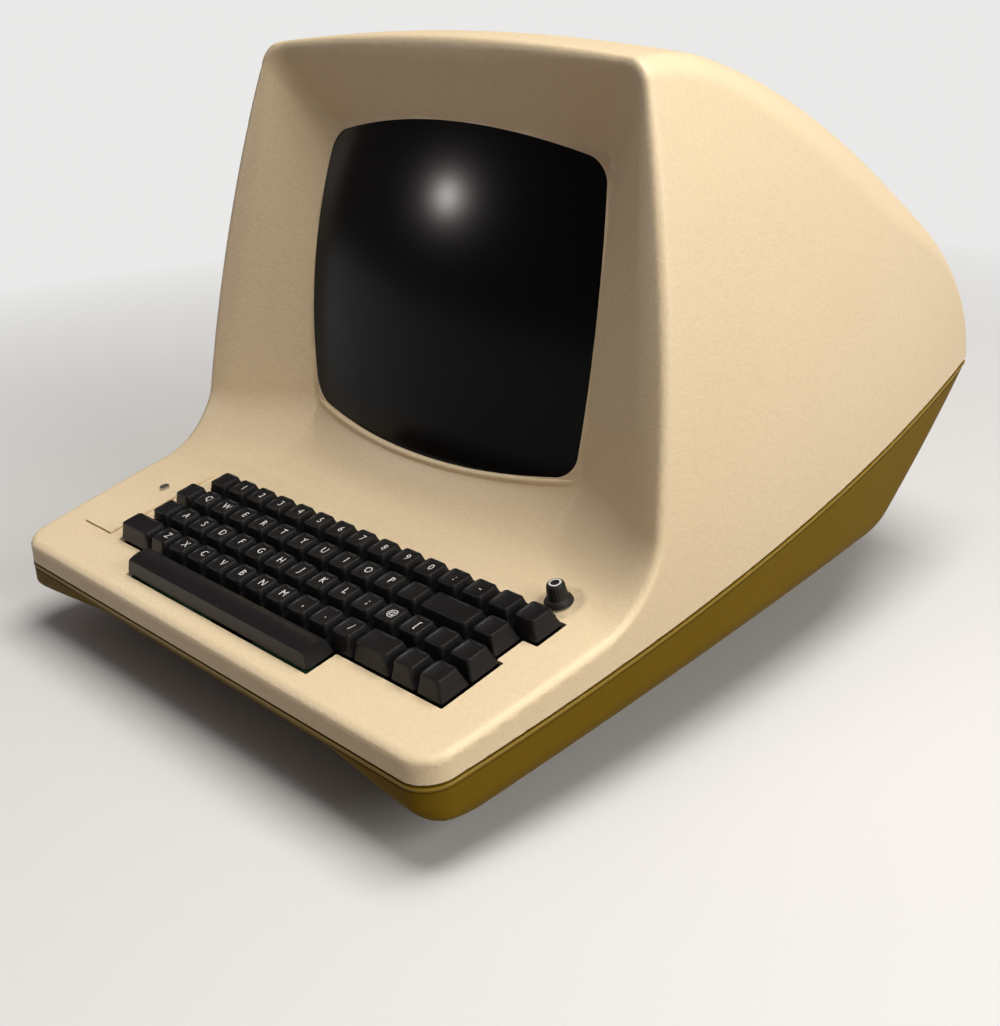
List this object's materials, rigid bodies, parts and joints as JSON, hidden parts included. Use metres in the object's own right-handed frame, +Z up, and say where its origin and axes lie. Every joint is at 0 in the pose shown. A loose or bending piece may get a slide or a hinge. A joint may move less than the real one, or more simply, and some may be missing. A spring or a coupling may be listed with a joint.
{
  "type": "computer terminal",
  "caption": "Clamshell video display terminal: ivory hood with a deep-set screen over a boat-shaped olive base, sloping keyboard and rear connector panel.",
  "frame": {"origin": "on the table under the middle of the overall box", "axes": "+X to the user's right, +Y from the keyboard to the back, +Z up"},
  "size_m": [0.396, 0.483, 0.343],
  "materials": {
    "ivory": "satin, fine moulded texture",
    "olive": "satin, fine moulded texture",
    "tube_glass": "polished dark glass",
    "steel": "zinc plated",
    "winding": "varnished",
    "brown_plastic": "moulded phenolic",
    "board": "lacquered laminate",
    "black_plastic": "satin",
    "key_plastic": "satin",
    "aluminium": "satin",
    "capacitor": "sleeved",
    "red_plastic": "gloss",
    "rubber": "matt"
  },
  "bodies": {
    "base": {"base_shell": "olive", "logic_board": "board", "logic_chips": "black_plastic", "key_switches": "black_plastic", "option_switches": "red_plastic", "power_transformer": "steel", "filter_capacitors": "capacitor", "heat_sink": "aluminium", "rear_panel": "aluminium", "data_connectors": "steel", "fuse_holder": "black_plastic", "power_switch": "black_plastic", "cord_gland": "black_plastic", "rubber_feet": "rubber", "hinge_pins": "steel"},
    "cover": {"top_cover": "ivory", "crt_tube": "tube_glass", "crt_band": "steel", "deflection_yoke": "winding", "tube_socket": "brown_plastic", "monitor_board": "board", "flyback_transformer": "black_plastic", "brightness_control": "steel"},
    "plate": {"access_plate": "ivory", "plate_screw": "steel"},
    "knob": {"brightness_knob": "black_plastic"},
    "rocker": {"power_rocker": "red_plastic"},
    "number_keys_body": {"number_keys": "key_plastic"},
    "edge_keys_body": {"edge_keys": "key_plastic"},
    "low_keys_body": {"low_keys": "key_plastic"},
    "return_key_body": {"return_key": "key_plastic"},
    "left_shift_body": {"left_shift": "key_plastic"},
    "right_shift_body": {"right_shift": "key_plastic"},
    "space_bar_body": {"space_bar": "key_plastic"},
    "key_q_body": {"key_q": "key_plastic"},
    "key_w_body": {"key_w": "key_plastic"},
    "key_e_body": {"key_e": "key_plastic"},
    "key_r_body": {"key_r": "key_plastic"},
    "key_t_body": {"key_t": "key_plastic"},
    "key_y_body": {"key_y": "key_plastic"},
    "key_u_body": {"key_u": "key_plastic"},
    "key_i_body": {"key_i": "key_plastic"},
    "key_o_body": {"key_o": "key_plastic"},
    "key_p_body": {"key_p": "key_plastic"},
    "key_a_body": {"key_a": "key_plastic"},
    "key_s_body": {"key_s": "key_plastic"},
    "key_d_body": {"key_d": "key_plastic"},
    "key_f_body": {"key_f": "key_plastic"},
    "key_g_body": {"key_g": "key_plastic"},
    "key_h_body": {"key_h": "key_plastic"},
    "key_j_body": {"key_j": "key_plastic"},
    "key_k_body": {"key_k": "key_plastic"},
    "key_l_body": {"key_l": "key_plastic"},
    "key_z_body": {"key_z": "key_plastic"},
    "key_x_body": {"key_x": "key_plastic"},
    "key_c_body": {"key_c": "key_plastic"},
    "key_v_body": {"key_v": "key_plastic"},
    "key_b_body": {"key_b": "key_plastic"},
    "key_n_body": {"key_n": "key_plastic"},
    "key_m_body": {"key_m": "key_plastic"}
  },
  "joints": [
    {"name": "cover_hinge", "type": "hinge", "parent": "base", "child": "cover", "pos_m": [0, 0.238, 0.131], "axis": [-1, 0, 0], "range_deg": [0, 60]},
    {"name": "plate_lift", "type": "slide", "parent": "cover", "child": "plate", "axis": [0, -0.2045, 0.9789], "range_m": [0, 0.05]},
    {"name": "brightness_turn", "type": "hinge", "parent": "cover", "child": "knob", "pos_m": [0.155, -0.12375, 0.08618], "axis": [0, -0.2045, 0.9789], "range_deg": [-150, 150]},
    {"name": "power_tilt", "type": "hinge", "parent": "base", "child": "rocker", "pos_m": [0.062, 0.191, 0.07], "axis": [1, 0, 0], "range_deg": [-8, 8]},
    {"name": "number_keys_press", "type": "slide", "parent": "base", "child": "number_keys_body", "axis": [0, 0.2045, -0.9789], "range_m": [0, 0.0038], "stiffness_N_per_m": 2250, "springref_m": -0.001},
    {"name": "edge_keys_press", "type": "slide", "parent": "base", "child": "edge_keys_body", "axis": [0, 0.2045, -0.9789], "range_m": [0, 0.0038], "stiffness_N_per_m": 1350, "springref_m": -0.001},
    {"name": "low_keys_press", "type": "slide", "parent": "base", "child": "low_keys_body", "axis": [0, 0.2045, -0.9789], "range_m": [0, 0.0038], "stiffness_N_per_m": 750, "springref_m": -0.001},
    {"name": "return_key_press", "type": "slide", "parent": "base", "child": "return_key_body", "axis": [0, 0.2045, -0.9789], "range_m": [0, 0.0038], "stiffness_N_per_m": 150, "springref_m": -0.001},
    {"name": "left_shift_press", "type": "slide", "parent": "base", "child": "left_shift_body", "axis": [0, 0.2045, -0.9789], "range_m": [0, 0.0038], "stiffness_N_per_m": 150, "springref_m": -0.001},
    {"name": "right_shift_press", "type": "slide", "parent": "base", "child": "right_shift_body", "axis": [0, 0.2045, -0.9789], "range_m": [0, 0.0038], "stiffness_N_per_m": 150, "springref_m": -0.001},
    {"name": "space_bar_press", "type": "slide", "parent": "base", "child": "space_bar_body", "axis": [0, 0.2045, -0.9789], "range_m": [0, 0.0038], "stiffness_N_per_m": 150, "springref_m": -0.001},
    {"name": "key_q_press", "type": "slide", "parent": "base", "child": "key_q_body", "axis": [0, 0.2045, -0.9789], "range_m": [0, 0.0038], "stiffness_N_per_m": 150, "springref_m": -0.001},
    {"name": "key_w_press", "type": "slide", "parent": "base", "child": "key_w_body", "axis": [0, 0.2045, -0.9789], "range_m": [0, 0.0038], "stiffness_N_per_m": 150, "springref_m": -0.001},
    {"name": "key_e_press", "type": "slide", "parent": "base", "child": "key_e_body", "axis": [0, 0.2045, -0.9789], "range_m": [0, 0.0038], "stiffness_N_per_m": 150, "springref_m": -0.001},
    {"name": "key_r_press", "type": "slide", "parent": "base", "child": "key_r_body", "axis": [0, 0.2045, -0.9789], "range_m": [0, 0.0038], "stiffness_N_per_m": 150, "springref_m": -0.001},
    {"name": "key_t_press", "type": "slide", "parent": "base", "child": "key_t_body", "axis": [0, 0.2045, -0.9789], "range_m": [0, 0.0038], "stiffness_N_per_m": 150, "springref_m": -0.001},
    {"name": "key_y_press", "type": "slide", "parent": "base", "child": "key_y_body", "axis": [0, 0.2045, -0.9789], "range_m": [0, 0.0038], "stiffness_N_per_m": 150, "springref_m": -0.001},
    {"name": "key_u_press", "type": "slide", "parent": "base", "child": "key_u_body", "axis": [0, 0.2045, -0.9789], "range_m": [0, 0.0038], "stiffness_N_per_m": 150, "springref_m": -0.001},
    {"name": "key_i_press", "type": "slide", "parent": "base", "child": "key_i_body", "axis": [0, 0.2045, -0.9789], "range_m": [0, 0.0038], "stiffness_N_per_m": 150, "springref_m": -0.001},
    {"name": "key_o_press", "type": "slide", "parent": "base", "child": "key_o_body", "axis": [0, 0.2045, -0.9789], "range_m": [0, 0.0038], "stiffness_N_per_m": 150, "springref_m": -0.001},
    {"name": "key_p_press", "type": "slide", "parent": "base", "child": "key_p_body", "axis": [0, 0.2045, -0.9789], "range_m": [0, 0.0038], "stiffness_N_per_m": 150, "springref_m": -0.001},
    {"name": "key_a_press", "type": "slide", "parent": "base", "child": "key_a_body", "axis": [0, 0.2045, -0.9789], "range_m": [0, 0.0038], "stiffness_N_per_m": 150, "springref_m": -0.001},
    {"name": "key_s_press", "type": "slide", "parent": "base", "child": "key_s_body", "axis": [0, 0.2045, -0.9789], "range_m": [0, 0.0038], "stiffness_N_per_m": 150, "springref_m": -0.001},
    {"name": "key_d_press", "type": "slide", "parent": "base", "child": "key_d_body", "axis": [0, 0.2045, -0.9789], "range_m": [0, 0.0038], "stiffness_N_per_m": 150, "springref_m": -0.001},
    {"name": "key_f_press", "type": "slide", "parent": "base", "child": "key_f_body", "axis": [0, 0.2045, -0.9789], "range_m": [0, 0.0038], "stiffness_N_per_m": 150, "springref_m": -0.001},
    {"name": "key_g_press", "type": "slide", "parent": "base", "child": "key_g_body", "axis": [0, 0.2045, -0.9789], "range_m": [0, 0.0038], "stiffness_N_per_m": 150, "springref_m": -0.001},
    {"name": "key_h_press", "type": "slide", "parent": "base", "child": "key_h_body", "axis": [0, 0.2045, -0.9789], "range_m": [0, 0.0038], "stiffness_N_per_m": 150, "springref_m": -0.001},
    {"name": "key_j_press", "type": "slide", "parent": "base", "child": "key_j_body", "axis": [0, 0.2045, -0.9789], "range_m": [0, 0.0038], "stiffness_N_per_m": 150, "springref_m": -0.001},
    {"name": "key_k_press", "type": "slide", "parent": "base", "child": "key_k_body", "axis": [0, 0.2045, -0.9789], "range_m": [0, 0.0038], "stiffness_N_per_m": 150, "springref_m": -0.001},
    {"name": "key_l_press", "type": "slide", "parent": "base", "child": "key_l_body", "axis": [0, 0.2045, -0.9789], "range_m": [0, 0.0038], "stiffness_N_per_m": 150, "springref_m": -0.001},
    {"name": "key_z_press", "type": "slide", "parent": "base", "child": "key_z_body", "axis": [0, 0.2045, -0.9789], "range_m": [0, 0.0038], "stiffness_N_per_m": 150, "springref_m": -0.001},
    {"name": "key_x_press", "type": "slide", "parent": "base", "child": "key_x_body", "axis": [0, 0.2045, -0.9789], "range_m": [0, 0.0038], "stiffness_N_per_m": 150, "springref_m": -0.001},
    {"name": "key_c_press", "type": "slide", "parent": "base", "child": "key_c_body", "axis": [0, 0.2045, -0.9789], "range_m": [0, 0.0038], "stiffness_N_per_m": 150, "springref_m": -0.001},
    {"name": "key_v_press", "type": "slide", "parent": "base", "child": "key_v_body", "axis": [0, 0.2045, -0.9789], "range_m": [0, 0.0038], "stiffness_N_per_m": 150, "springref_m": -0.001},
    {"name": "key_b_press", "type": "slide", "parent": "base", "child": "key_b_body", "axis": [0, 0.2045, -0.9789], "range_m": [0, 0.0038], "stiffness_N_per_m": 150, "springref_m": -0.001},
    {"name": "key_n_press", "type": "slide", "parent": "base", "child": "key_n_body", "axis": [0, 0.2045, -0.9789], "range_m": [0, 0.0038], "stiffness_N_per_m": 150, "springref_m": -0.001},
    {"name": "key_m_press", "type": "slide", "parent": "base", "child": "key_m_body", "axis": [0, 0.2045, -0.9789], "range_m": [0, 0.0038], "stiffness_N_per_m": 150, "springref_m": -0.001}
  ]
}
